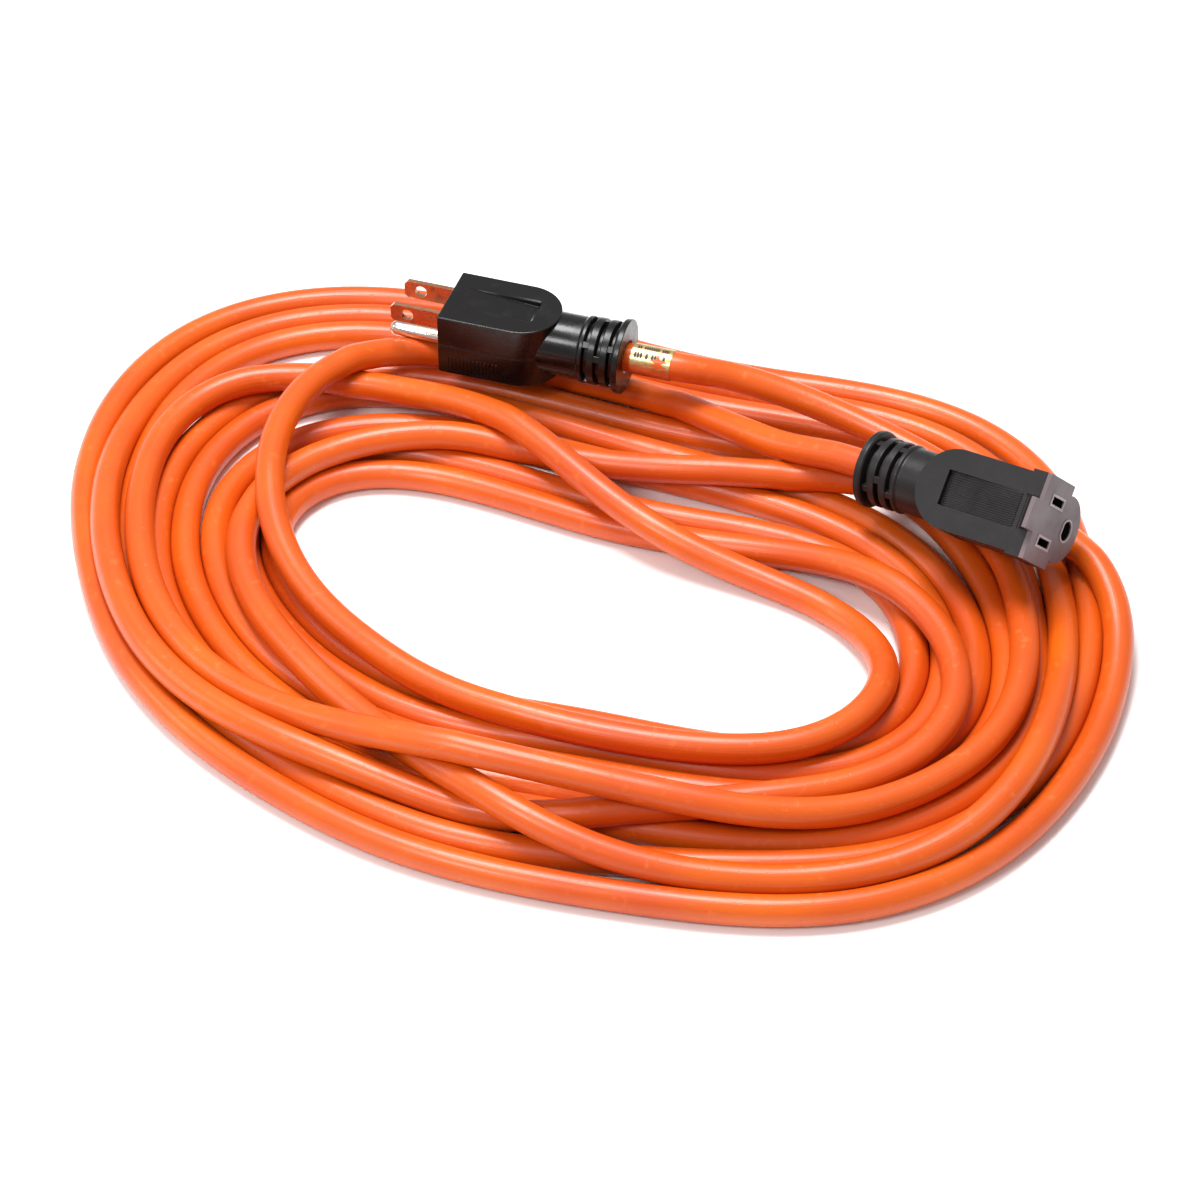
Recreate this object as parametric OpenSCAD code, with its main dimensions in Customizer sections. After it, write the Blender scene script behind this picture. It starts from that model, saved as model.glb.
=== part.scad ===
// Outdoor extension cord: a round three-core cord coiled into a loose oval hank,
// with a moulded three-blade plug and a moulded three-slot connector lying on it.
// Millimetres, +Z up. The hank rests on z = 0 and the origin is under its middle.

/* [Cord] */
// Outer diameter of the orange jacket
cord_d = 9.1; // [8.8:0.1:9.2]
// Diameter of each insulated conductor inside the jacket
wire_d = 2.9; // [2.6:0.1:3]
// Diameter of the bare stranded copper in a conductor
copper_d = 1.9; // [1.6:0.1:2]

/* [Hank] */
// Radius of the open eye at its two round ends
hank_eye_r = 40; // [38:1:41]
// Half the distance between the centres of the eye's round ends
hank_eye_run = 48; // [46:1:50]
// Turn of the eye's long axis about the vertical, in degrees
hank_eye_turn = -24; // [-26:1:-22]

/* [Plug] */
// Length of the plug body from its front face to its round end
plug_l = 37; // [36:0.5:38]
// Width of the plug body across the two flat blades
plug_w = 25; // [24.5:0.5:26]
// Height of the plug body
plug_h = 21.5; // [21:0.5:21.5]

/* [Connector] */
// Length of the connector body from its front face to its round end
conn_l = 42; // [41:0.5:43]
// Width of the connector body across its two blade slots
conn_w = 26.4; // [26:0.2:27]
// Thickness of the face block that carries the slots
face_t = 5.8; // [5:0.2:6]

/* [Strain reliefs] */
// Length of the ribbed strain relief behind each body
relief_l = 22; // [20:1:24]
// Diameter over the ribs of a strain relief
relief_d = 21.5; // [21:0.5:22]
// Diameter of the flared collar that ends a strain relief
collar_d = 24; // [23:0.5:25]

/* [Blades] */
// Distance between the centre planes of the two flat blades
blade_pitch = 12.7; // [12.6:0.05:12.8]
// Width of a flat blade
blade_w = 6.35; // [6.2:0.05:6.5]
// Thickness of a flat blade
blade_t = 1.52; // [1.4:0.02:1.6]
// Length of a flat blade in front of the plug
blade_l = 17.5; // [16.5:0.5:18]
// Distance from the blades' centre line to the earth pin's axis
earth_drop = 11.86; // [11.8:0.02:11.9]
// Diameter of the round earth pin
earth_d = 4.76; // [4.7:0.01:4.8]
// Length of the earth pin in front of the plug, with its round tip
earth_l = 20.6; // [20:0.2:21.5]

/* [Label] */
// Length of the foil label along the cord
label_l = 13; // [11:1:14]

/* [Hidden] */
$fn = 64;

// Fits between neighbouring pieces
fit = 0.05;
cut = 1;
wall = 0.35;

// Hank: three round bends of the outer turns, each [x, y, radius], joined by straight runs
outer_bends = [[-74.5, 55.5, 88], [-29, 8, 121], [39, -20, 123.5]];
// The eye sits off the middle, because the turns lie wider at the back and right
eye_centre = [-4.5, -20.5];
// The turns lie two deep, and the upper ones lie closer in on both sides
layer_h = [9, 8];
layer_inset = [0, 4.5];
hank_h = layer_h[0] + layer_h[1];

// Place of the plug's front face, at mid height, and its turn about X, Y and Z
plug_at = [-43, 94, 29.5];
plug_turn = [0, 0, -18];
// Place of the connector's front face, between its slots, and its turn about X, Y and Z
conn_at = [137, -14, 38];
conn_turn = [-44, 8, 144];

// Plug, in its own frame: front face at x = 0, blades towards -X, cord towards +X
blade_z = 4.9;
earth_z = blade_z - earth_drop;
plug_skin = 2.2;
bridge_l = 11;
bridge_end = plug_skin + bridge_l;
bridge_w = 19.2;
bridge_foot = earth_z - 3;
bridge_h = earth_drop + 7.4;
tail_w = 4;
crimp_l = 4.5;
plug_barrel_end = bridge_end + 7;
plug_jacket_x = 34;
plug_end = plug_l + relief_l;
earth_neck_d = 4.2;
blade_hole_d = 4;
blade_hole_x = 11.9;

// Connector, in its own frame: front face at x = 0, slots on z = 0, cord towards +X
band_top = 9.2;
band_bottom = -8;
lobe_r = 10.4;
lobe_z = -10;
stop_w = 9.6;
stop_h = 5;
core_end = 22;
cap_t = 3;
conn_barrel_end = core_end + cap_t + 5;
conn_jacket_x = 43;
conn_end = conn_l + relief_l;
relief_z = -4.5;
slot_w = 7.8;
slot_t = 2.3;
sleeve_bore_d = 4.9;
sleeve_d = 6;
earth_hole_r = 3;

step_in = 0.8;
core_w = 20;
core_h = 12;
core_lobe_d = 10;

// Thumb recesses
recess_l = 26;
recess_tilt = 4;
plug_recess_w = 9.6;
conn_recess_w = 11;

// Crimped wires
barrel_d = 4;
wire_spread = 1.75;
// Turn of the three cores about the cord where the jacket ends, in degrees
lay_turn = 30;

// Points from a to b that leave and arrive along X, for a wire between barrel and jacket
function eased(a, b, steps = 7) = [for (i = [0:steps])
    let (u = i / steps, v = (1 - cos(180 * u)) / 2)
    [a.x + u * (b.x - a.x), a.y + v * (b.y - a.y), a.z + v * (b.z - a.z)]];

// Routes of the two free leads, as points on the middle of the cord. Each starts on
// its fitting's axis, where the jacket ends inside the moulding, and sinks into the hank.
function turned(p, t) =
    let (x = [p.x, p.y * cos(t.x) - p.z * sin(t.x), p.y * sin(t.x) + p.z * cos(t.x)])
    let (y = [x.x * cos(t.y) + x.z * sin(t.y), x.y, x.z * cos(t.y) - x.x * sin(t.y)])
    [y.x * cos(t.z) - y.y * sin(t.z), y.x * sin(t.z) + y.y * cos(t.z), y.z];
function on_plug(x) = plug_at + turned([x, 0, 0], plug_turn);
function on_connector(x) = conn_at + turned([x, 0, relief_z], conn_turn);

plug_route = concat(
    [on_plug(plug_jacket_x), on_plug(plug_end), on_plug(plug_end + label_l + 4)],
    [[46, 71, 25.4], [62, 68, 21.6], [78, 62, 18.2], [93, 54, 15.6], [107, 44, 14], [120, 32, 13],
     [131, 21, 12.6]]
);
connector_route = concat(
    [on_connector(conn_jacket_x), on_connector(conn_end), on_connector(conn_end + 14)],
    [[61, 44, 19.6], [47, 57, 15.8], [34, 69, 13.2], [20, 79, 12.4]]
);
lead_sides = 12;

// ---- Shapes that repeat ----

// Runs its children along the straight line from a to b, with +X pointing at b
module along(a, b) {
    d = b - a;
    translate(a) rotate([0, -atan2(d.z, norm([d.x, d.y])), atan2(d.y, d.x)]) children();
}

// Round rod along +X
module rod(d, x0, x1) {
    translate([x0, 0, 0]) rotate([0, 90, 0]) cylinder(d = d, h = x1 - x0);
}

// Oval with two round ends of radius r, its long axis turned about the vertical
module oval(r, run, turn) {
    rotate(turn) union() {
        translate([-run, 0]) circle(r = r, $fn = 128);
        translate([run, 0]) circle(r = r, $fn = 128);
        square([2 * run, 2 * r], center = true);
    }
}

// Two round bends, each [x, y, radius], and the straight runs between them. The runs
// sink into the bends by a hair, so that the outline has no two corners in one place.
module bend_pair(a, b) {
    d = [b.x - a.x, b.y - a.y];
    lean = acos((a.z - b.z) / norm(d));
    way = atan2(d.y, d.x);
    function edge(c, turn) = [c.x + (c.z - 0.02) * cos(way + turn), c.y + (c.z - 0.02) * sin(way + turn)];
    translate([a.x, a.y]) circle(r = a.z, $fn = 128);
    translate([b.x, b.y]) circle(r = b.z, $fn = 128);
    polygon([edge(a, lean), edge(a, -lean), edge(b, -lean), edge(b, lean)]);
}

// Straight-sided plan that ends in a half circle towards +X, swept up in z
module d_plan(length, width, x0, z0, z1) {
    translate([0, 0, z0]) linear_extrude(z1 - z0) union() {
        translate([x0, -width / 2]) square([length - width / 2 - x0, width]);
        translate([length - width / 2, 0]) circle(d = width, $fn = 96);
    }
}

// Ribbed strain relief from x0 to x0 + relief_l: a plain root, three ring grooves, a collar
module relief(x0, root) {
    rib_r = relief_d / 2;
    groove_r = rib_r - 2.2;
    rib = 2.4;
    groove = 1.7;
    first = relief_l - 3 * (rib + groove) - 1.2;
    translate([x0, 0, 0]) rotate([0, 90, 0]) difference() {
        union() {
            translate([0, 0, -root]) cylinder(r = rib_r - 0.6, h = root + first + 0.1, $fn = 72);
            translate([0, 0, first]) cylinder(r = rib_r, h = relief_l - first - rib, $fn = 72);
            translate([0, 0, relief_l - rib]) cylinder(d = collar_d, h = rib, $fn = 72);
        }
        for (i = [0:2]) translate([0, 0, first + 1.2 + i * (rib + groove)]) difference() {
            cylinder(r = rib_r + 2, h = groove, $fn = 72);
            translate([0, 0, -0.1]) cylinder(r = groove_r, h = groove + 0.2, $fn = 72);
        }
    }
}

// Round tube swept along a route, one ring of corners at each point
module swept_tube(route, d, s = lead_sides) {
    n = len(route);
    unit = function (v) v / norm(v);
    aim = function (i) i == 0 ? unit(route[1] - route[0])
        : i == n - 1 ? unit(route[i] - route[i - 1])
        : unit(unit(route[i + 1] - route[i]) + unit(route[i] - route[i - 1]));
    corners = [for (i = [0:n - 1])
        let (t = aim(i), side = unit(cross(t, [0, 0, 1])), up = cross(side, t))
        for (k = [0:s - 1]) route[i] + d / 2 * (cos(360 * k / s) * side + sin(360 * k / s) * up)];
    walls = [for (i = [0:n - 2], k = [0:s - 1])
        [i * s + k, i * s + (k + 1) % s, (i + 1) * s + (k + 1) % s, (i + 1) * s + k]];
    ends = [[for (k = [s - 1:-1:0]) k], [for (k = [0:s - 1]) (n - 1) * s + k]];
    polyhedron(points = corners, faces = concat(walls, ends), convexity = 6);
}

// Insulated wire along a route, grown by extra all round
module wire(route, extra = 0) { swept_tube(route, wire_d + 2 * extra, 10); }

// Open-topped groove in the hank's upper turns, wherever a lead lies lower than their top
module groove(route) {
    w = cord_d + 0.8;
    for (i = [2:len(route) - 2]) if (route[i + 1].z - w / 2 < hank_h)
        along(route[i], route[i + 1]) translate([-1, -w / 2, -w / 2])
            cube([norm(route[i + 1] - route[i]) + 2, w, 2 * hank_h]);
}

// ---- Cord ----

// Plan of one layer of turns, drawn in on both sides by inset
module turns_plan(inset) {
    bends = [for (b = outer_bends) [b.x, b.y, b.z - inset]];
    difference() {
        union() {
            bend_pair(bends[0], bends[1]);
            bend_pair(bends[1], bends[2]);
        }
        translate(eye_centre) oval(hank_eye_r + inset, hank_eye_run, hank_eye_turn);
    }
}

module cord_hank() {
    color("darkorange") difference() {
        union() {
            linear_extrude(layer_h[0]) turns_plan(layer_inset[0]);
            linear_extrude(hank_h) turns_plan(layer_inset[1]);
        }
        groove(plug_route);
        groove(connector_route);
        // Hollow that the connector's collar lies in
        on_conn_frame() translate([0, 0, relief_z]) rod(collar_d + 1, conn_l, conn_end + 3);
    }
}

module plug_lead() { color("orange") swept_tube(plug_route, cord_d); }
module connector_lead() { color("orange") swept_tube(connector_route, cord_d); }

// Foil sleeve round the cord, just clear of the plug's collar
module approval_label() {
    color("gold") on_plug_frame() translate([plug_end + 2, 0, 0]) rotate([0, 90, 0]) difference() {
        cylinder(d = cord_d + 2 * (fit + wall), h = label_l, $fn = 48);
        translate([0, 0, -cut]) cylinder(d = cord_d + 2 * fit, h = label_l + 2 * cut, $fn = 48);
    }
}

// ---- Plug ----

module on_plug_frame() { translate(plug_at) rotate(plug_turn) children(); }

blade_y = blade_pitch / 2;
function core_turn(k) = 120 * k + lay_turn;
function core_end_at(x, z, k) = [x, wire_spread * cos(core_turn(k)), z + wire_spread * sin(core_turn(k))];
plug_ends = [[plug_barrel_end, -blade_y, blade_z], [plug_barrel_end, blade_y, blade_z],
             [plug_barrel_end, 0, earth_z]];
plug_cores = [for (k = [1, 0, 2]) core_end_at(plug_jacket_x, 0, k)];
function plug_wire_path(k) = eased(plug_ends[k], plug_cores[k]);

// Shank and crimp barrel behind a blade or the earth pin
module tail_and_barrel() {
    translate([-1, -blade_t / 2, -tail_w / 2]) cube([bridge_end + 3, blade_t, tail_w]);
    difference() {
        rod(barrel_d, bridge_end + 1, plug_barrel_end);
        rod(copper_d + 2 * fit, plug_barrel_end - crimp_l, plug_barrel_end + cut);
    }
}

module flat_blade(y) {
    on_plug_frame() translate([0, y, blade_z]) difference() {
        union() {
            rotate([90, 0, 0]) linear_extrude(blade_t, center = true) polygon([
                [-blade_l, -blade_w / 2 + 1.2], [-blade_l + 1.2, -blade_w / 2],
                [bridge_end - 3, -blade_w / 2], [bridge_end - 3, blade_w / 2],
                [-blade_l + 1.2, blade_w / 2], [-blade_l, blade_w / 2 - 1.2]]);
            tail_and_barrel();
        }
        translate([-blade_hole_x, 0, 0]) rotate([90, 0, 0]) cylinder(d = blade_hole_d, h = 4, center = true);
    }
}

module plug_blade_line() { color("peru") flat_blade(-blade_y); }
module plug_blade_neutral() { color("peru") flat_blade(blade_y); }

module plug_earth_pin() {
    color("silver") on_plug_frame() translate([0, 0, earth_z]) union() {
        rod(earth_d, -earth_l + earth_d / 2, 0);
        rod(earth_neck_d, -cut, bridge_end - 3);
        translate([-earth_l + earth_d / 2, 0, 0]) sphere(d = earth_d);
        tail_and_barrel();
    }
}

// Slot in the inner block for the flat tail behind a blade or the earth pin
module tail_slot() {
    translate([0, -blade_t / 2 - fit, -tail_w / 2 - fit])
        cube([bridge_end + cut, blade_t + 2 * fit, tail_w + 2 * fit]);
}

// Stiff inner block that holds the blades and the pin at their pitch
module plug_bridge() {
    color("dimgray") on_plug_frame() difference() {
        translate([plug_skin, -bridge_w / 2, bridge_foot]) cube([bridge_l, bridge_w, bridge_h]);
        for (y = [-blade_y, blade_y]) translate([0, y, blade_z]) {
            translate([0, -blade_t / 2 - fit, -blade_w / 2 - fit])
                cube([bridge_end - 3 + fit, blade_t + 2 * fit, blade_w + 2 * fit]);
            tail_slot();
        }
        translate([0, 0, earth_z]) {
            rod(earth_neck_d + 2 * fit, 0, bridge_end - 3 + fit);
            tail_slot();
        }
    }
}

module plug_wire_black() { color("black") on_plug_frame() wire(plug_wire_path(0)); }
module plug_wire_white() { color("white") on_plug_frame() wire(plug_wire_path(1)); }
module plug_wire_green() { color("green") on_plug_frame() wire(plug_wire_path(2)); }

// Bare strands of the three wires, crimped into the barrels
module plug_copper_ends() {
    color("chocolate") on_plug_frame()
        for (e = plug_ends) translate([0, e.y, e.z])
            rod(copper_d, plug_barrel_end - crimp_l, plug_barrel_end);
}

// Room that the flexible moulding leaves for what it is moulded round
module plug_inside() {
    translate([plug_skin - fit, -bridge_w / 2 - fit, bridge_foot - fit])
        cube([bridge_l + 2 * fit, bridge_w + 2 * fit, bridge_h + 2 * fit]);
    for (y = [-blade_y, blade_y]) translate([-cut, y - blade_t / 2 - fit, blade_z - blade_w / 2 - fit])
        cube([plug_skin + 2 * cut, blade_t + 2 * fit, blade_w + 2 * fit]);
    translate([0, 0, earth_z]) rod(earth_neck_d + 2 * fit, -cut, plug_skin + cut);
    for (k = [0:2]) {
        translate([0, plug_ends[k].y, plug_ends[k].z])
            rod(barrel_d + 2 * fit, bridge_end - 0.5, plug_barrel_end + fit);
        wire(plug_wire_path(k), fit);
    }
    rod(cord_d + 2 * fit, plug_jacket_x, plug_end + cut);
}

module plug_overmould() {
    color([0.09, 0.08, 0.08]) on_plug_frame() difference() {
        union() {
            d_plan(plug_l, plug_w, 0, -plug_h / 2, plug_h / 2);
            relief(plug_l, 9);
        }
        // Thumb recess in the top, deepest towards the cord
        translate([4, 0, plug_h / 2]) rotate([0, recess_tilt, 0]) translate([0, -plug_recess_w / 2, 0])
            cube([recess_l, plug_recess_w, 4]);
        plug_inside();
    }
}

// ---- Connector ----

module on_conn_frame() { translate(conn_at) rotate(conn_turn) children(); }

conn_ends = [[conn_barrel_end, -blade_y, 0], [conn_barrel_end, blade_y, 0],
             [conn_barrel_end, 0, -earth_drop]];
conn_cores = [for (k = [1, 0, 2]) core_end_at(conn_jacket_x, relief_z, k)];
function conn_wire_path(k) = eased(conn_ends[k], conn_cores[k]);

// Outline of the connector's face: a wide band for the slots over a round lobe for the earth hole
module face_outline(grow) {
    union() {
        translate([-conn_w / 2 - grow, band_bottom - grow])
            square([conn_w + 2 * grow, band_top - band_bottom + 2 * grow]);
        translate([0, lobe_z]) circle(r = lobe_r + grow, $fn = 96);
    }
}

// Sweeps an outline given as (y, z) along +X
module face_sweep(x0, x1) {
    translate([x0, 0, 0]) rotate([90, 0, 90]) linear_extrude(x1 - x0) children();
}

// Block round the contact chambers, from x0 to x1, grown by extra all round
module inner_core(x0, x1, extra) {
    l = x1 - x0;
    translate([x0, -core_w / 2 - extra, -core_h / 2 - extra])
        cube([l, core_w + 2 * extra, core_h + 2 * extra]);
    translate([0, 0, -earth_drop]) rod(core_lobe_d + 2 * extra, x0, x1);
    translate([x0, -core_lobe_d / 2 - extra, -earth_drop]) cube([l, core_lobe_d + 2 * extra, earth_drop]);
}

// Chambers behind the slots and the earth hole
module contact_chambers(x0) {
    for (y = [-blade_y, blade_y])
        translate([x0, y - 2.6, -4.4]) cube([core_end - x0 + cut, 5.2, 8.8]);
    translate([0, 0, -earth_drop]) rod(sleeve_d + 2 * fit, x0, core_end + cut);
}

// Hard inner block: the visible face with its slots, and the core that holds the contacts
module connector_face() {
    color([0.3, 0.28, 0.29]) on_conn_frame() difference() {
        union() {
            face_sweep(0, face_t) face_outline(0);
            // Thumb stop that stands above the band at the front
            translate([0, stop_w / 2, 0]) rotate([90, 0, 0]) linear_extrude(stop_w) polygon([
                [0, band_top - cut], [0, band_top + stop_h], [1.6, band_top + stop_h],
                [face_t, band_top + 0.6], [face_t, band_top - cut]]);
            inner_core(face_t - cut, core_end, 0);
        }
        for (y = [-blade_y, blade_y]) translate([-cut, y - slot_t / 2, -slot_w / 2])
            cube([4 + 2 * cut, slot_t, slot_w]);
        // Earth hole: round, with a flat on the side towards the slots
        translate([0, 0, -earth_drop]) difference() {
            rod(2 * earth_hole_r, -cut, 4 + cut);
            translate([-2 * cut, -5, 2.5]) cube([6 + 4 * cut, 10, 5]);
        }
        contact_chambers(4);
    }
}

// Cap that closes the chambers from behind, with a hole for each crimp barrel
module connector_rear_cap() {
    color("gray") on_conn_frame() difference() {
        inner_core(core_end, core_end + cap_t, 0);
        for (e = conn_ends) translate([0, e.y, e.z])
            rod(barrel_d + 2 * fit, core_end - cut, core_end + cap_t + cut);
    }
}

module contact_barrel() {
    difference() {
        rod(barrel_d, core_end - 1.5, conn_barrel_end);
        rod(copper_d + 2 * fit, core_end + 1, conn_barrel_end + cut);
    }
}

// Folded double-wipe contact: two leaves that grip a blade, a web and a crimp barrel
module blade_contact(y) {
    on_conn_frame() translate([0, y, 0]) union() {
        for (m = [0, 1]) mirror([0, m, 0]) {
            translate([5, 0.78, -3.2]) cube([core_end - 6.5, 0.6, 6.4]);
            translate([5, 0.78, -3.2]) rotate([0, 0, 60]) cube([1.6, 0.6, 6.4]);
        }
        translate([core_end - 2, -1.38, -3.2]) cube([0.8, 2.76, 6.4]);
        contact_barrel();
    }
}

module contact_line() { color("goldenrod") blade_contact(-blade_y); }
module contact_neutral() { color("goldenrod") blade_contact(blade_y); }

// Round sleeve that grips the earth pin
module contact_earth() {
    color("goldenrod") on_conn_frame() translate([0, 0, -earth_drop]) union() {
        difference() {
            rod(sleeve_d, 4.2, core_end - 0.5);
            rod(sleeve_bore_d, 4.2 - cut, core_end - 1.5);
        }
        contact_barrel();
    }
}

module connector_wire_black() { color("black") on_conn_frame() wire(conn_wire_path(0)); }
module connector_wire_white() { color("white") on_conn_frame() wire(conn_wire_path(1)); }
module connector_wire_green() { color("green") on_conn_frame() wire(conn_wire_path(2)); }

module connector_copper_ends() {
    color("chocolate") on_conn_frame()
        for (e = conn_ends) translate([0, e.y, e.z]) rod(copper_d, core_end + 1, conn_barrel_end);
}

module conn_inside() {
    inner_core(face_t - cut, core_end + cap_t + fit, fit);
    for (k = [0:2]) {
        translate([0, conn_ends[k].y, conn_ends[k].z])
            rod(barrel_d + 2 * fit, core_end, conn_barrel_end + fit);
        wire(conn_wire_path(k), fit);
    }
    translate([0, 0, relief_z]) rod(cord_d + 2 * fit, conn_jacket_x, conn_end + cut);
}

module connector_overmould() {
    color([0.09, 0.08, 0.08]) on_conn_frame() difference() {
        union() {
            intersection() {
                face_sweep(face_t, conn_l) face_outline(-step_in);
                d_plan(conn_l, conn_w - 2 * step_in, face_t, -25, 15);
            }
            translate([0, 0, relief_z]) relief(conn_l, 10);
        }
        // Ribbed thumb recess in the top, deepest towards the cord
        translate([face_t + 1, 0, band_top - step_in]) rotate([0, recess_tilt, 0])
            translate([0, -conn_recess_w / 2, 0]) cube([recess_l, conn_recess_w, 4]);
        conn_inside();
    }
}

cord_hank();
plug_lead();
connector_lead();
approval_label();
plug_overmould();
plug_bridge();
plug_blade_line();
plug_blade_neutral();
plug_earth_pin();
plug_wire_black();
plug_wire_white();
plug_wire_green();
plug_copper_ends();
connector_overmould();
connector_face();
connector_rear_cap();
contact_line();
contact_neutral();
contact_earth();
connector_wire_black();
connector_wire_white();
connector_wire_green();
connector_copper_ends();
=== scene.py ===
import math

import bmesh
import bpy
import numpy as np
from mathutils import Euler, Matrix, Vector


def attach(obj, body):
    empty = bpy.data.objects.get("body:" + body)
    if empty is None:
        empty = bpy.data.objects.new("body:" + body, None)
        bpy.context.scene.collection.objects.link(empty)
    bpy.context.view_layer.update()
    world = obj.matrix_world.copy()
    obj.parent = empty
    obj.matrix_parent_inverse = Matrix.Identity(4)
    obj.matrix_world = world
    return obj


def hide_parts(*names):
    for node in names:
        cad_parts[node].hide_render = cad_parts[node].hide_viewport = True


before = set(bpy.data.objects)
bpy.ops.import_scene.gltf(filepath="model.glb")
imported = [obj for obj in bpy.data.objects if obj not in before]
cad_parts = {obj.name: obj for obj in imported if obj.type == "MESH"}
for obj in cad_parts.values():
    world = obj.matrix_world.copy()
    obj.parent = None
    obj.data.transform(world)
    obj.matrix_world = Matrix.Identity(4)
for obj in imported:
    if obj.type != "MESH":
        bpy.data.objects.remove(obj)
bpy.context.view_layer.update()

MM = 0.001

# ---- Places and routes, in millimetres, as in the part's source ----

CORD_D = 9.1
SAMPLE = 4.0
PLUG_AT = (-43, 94, 29.5)
PLUG_TURN = (0, 0, -18)
CONN_AT = (137, -14, 38)
CONN_TURN = (-44, 8, 144)
RELIEF_Z = -4.5
PLUG_END = 59
CONN_END = 64


def turn_matrix(turn):
    """The rotation that the part's source calls rotate([x, y, z])."""
    return np.array(Euler([math.radians(a) for a in turn], "XYZ").to_matrix())


def on_plug(x, y=0.0, z=0.0):
    """A point in the plug's own frame, brought to the row frame."""
    return np.array(PLUG_AT) + turn_matrix(PLUG_TURN) @ np.array([x, y, z], float)


def on_connector(x, y=0.0, z=RELIEF_Z):
    """A point in the connector's own frame, brought to the row frame."""
    return np.array(CONN_AT) + turn_matrix(CONN_TURN) @ np.array([x, y, z], float)


PLUG_LEAD = [on_plug(PLUG_END), on_plug(76)] + [np.array(p, float) for p in (
    (46, 71, 25.4), (62, 68, 21.6), (78, 62, 18.2), (93, 54, 15.6), (107, 44, 14),
    (120, 32, 13), (131, 21, 12.6))]
CONNECTOR_LEAD = [on_connector(CONN_END), on_connector(78)] + [np.array(p, float) for p in (
    (61, 44, 19.6), (47, 57, 15.8), (34, 69, 13.2), (20, 79, 12.4))]

# The last turn, from the coil's end to the connector's lead
LAST_TURN = [np.array(p, float) for p in (
    (-43.5, -58.7, 13.1), (-59.8, -42.1, 12.9), (-74, -27.2, 13.6), (-86, -12.4, 15.3),
    (-93.9, 4.3, 17.7), (-97.7, 21.7, 20.2), (-97.7, 40.7, 21.9), (-93.6, 59.3, 22.3),
    (-83.6, 76.2, 21.7), (-67.7, 89.9, 19.6), (-49.8, 95.9, 16.5), (-31.6, 96.2, 13.8),
    (-13.4, 93.3, 12.1), (4, 88.6, 11.8))]

# The hank's outline and its open eye: radii every 15 degrees round a centre each
OUTER_CENTRE = np.array([1.0, -8.0])
EYE_CENTRE = np.array([-11.0, -23.0])
OUTER_R = [158.1, 162.9, 156.1, 134.2, 114.0, 110.2, 119.1, 139.6, 167.9, 182.6, 173.1, 154.0,
           140.0, 130.5, 120.6, 113.7, 111.5, 116.0, 120.4, 129.8, 145.5, 156.8, 157.9, 157.6]
EYE_R = [90.0, 71.0, 54.0, 46.5, 46.5, 48.8, 53.8, 62.0, 73.0, 86.0, 92.0, 90.0,
         79.0, 66.0, 58.0, 52.5, 48.5, 45.5, 45.0, 49.2, 62.0, 87.0, 106.0, 105.0]


# Where each turn lies, from 0 at the eye to 1 at the outline. A row is a turn, clockwise from
# the right, with a value every 30 degrees.
STATIONS = 12
LANES = [
    [0.97, 1.00, 1.00, 1.00, 1.00, 1.00, 1.00, 1.00, 1.00, 1.00, 1.00, 0.94],
    [0.84, 0.80, 0.77, 0.76, 0.78, 0.80, 0.81, 0.82, 0.84, 0.85, 0.82, 0.75],
    [0.66, 0.60, 0.56, 0.56, 0.60, 0.64, 0.64, 0.60, 0.57, 0.62, 0.64, 0.60],
    [0.52, 0.45, 0.37, 0.35, 0.41, 0.47, 0.49, 0.52, 0.53, 0.50, 0.45, 0.40],
    [0.38, 0.30, 0.20, 0.18, 0.26, 0.34, 0.36, 0.35, 0.32, 0.34, 0.36, 0.36],
    [0.34, 0.25, 0.11, 0.05, 0.10, 0.19, 0.27, 0.28, 0.21, 0.12, 0.12, 0.22],
    [0.28, 0.15, 0.04, -0.03, -0.01, 0.06, 0.16, 0.18, 0.09, 0.03, 0.00, 0.12],
    [0.26, 0.36, 0.50, 0.68, 0.86, 0.92, 0.90, 0.87, 0.90, 0.95, 0.93, 0.85],
    [0.78, 0.83, 0.90, 0.93, 0.60, 0.34, 0.17, 0.12, 0.15, 0.23, 0.36, 0.50],
    [0.62, 0.60, 0.56, 0.58, 0.70, 0.84, 0.90, 0.75, 0.42, 0.12, 0.03, 0.03],
    [0.04, 0.01, 0.06, 0.12, 0.12],
]
COIL_STATIONS = 122.6
KEYS_PER_STATION = 2


# ---- The cord's line: laid turn on turn, then let down until it rests ----

def through(p0, p1, p2, p3, u):
    """A point on the smooth curve through p1 and p2, at the share u between them."""
    return 0.5 * (2 * p1 + (p2 - p0) * u + (2 * p0 - 5 * p1 + 4 * p2 - p3) * u * u
                  + (3 * p1 - p0 - 3 * p2 + p3) * u ** 3)


def radius_at(table, angle):
    """A radius from a table that goes once round."""
    place = (angle / (2 * math.pi) * len(table)) % len(table)
    i = int(place)
    near = [table[(i + k) % len(table)] for k in (-1, 0, 1, 2)]
    return through(*near, place - i)


def lane_at(station):
    """How far out the cord lies at a station, from 0 at the eye to 1 at the outline."""
    lanes = [lane for turn in LANES for lane in turn]
    i = int(math.floor(station))
    near = [lanes[min(max(i + k, 0), len(lanes) - 1)] for k in (-1, 0, 1, 2)]
    return through(*near, station - i)


def coil_point(station):
    """The cord's place over the floor at a station."""
    angle = -2 * math.pi * station / STATIONS
    way = np.array([math.cos(angle), math.sin(angle)])
    lane = lane_at(station)
    inner = EYE_CENTRE + way * radius_at(EYE_R, angle)
    outer = OUTER_CENTRE + way * radius_at(OUTER_R, angle)
    x, y = inner * (1 - lane) + outer * lane
    return np.array([x, y, 0.0])


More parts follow.
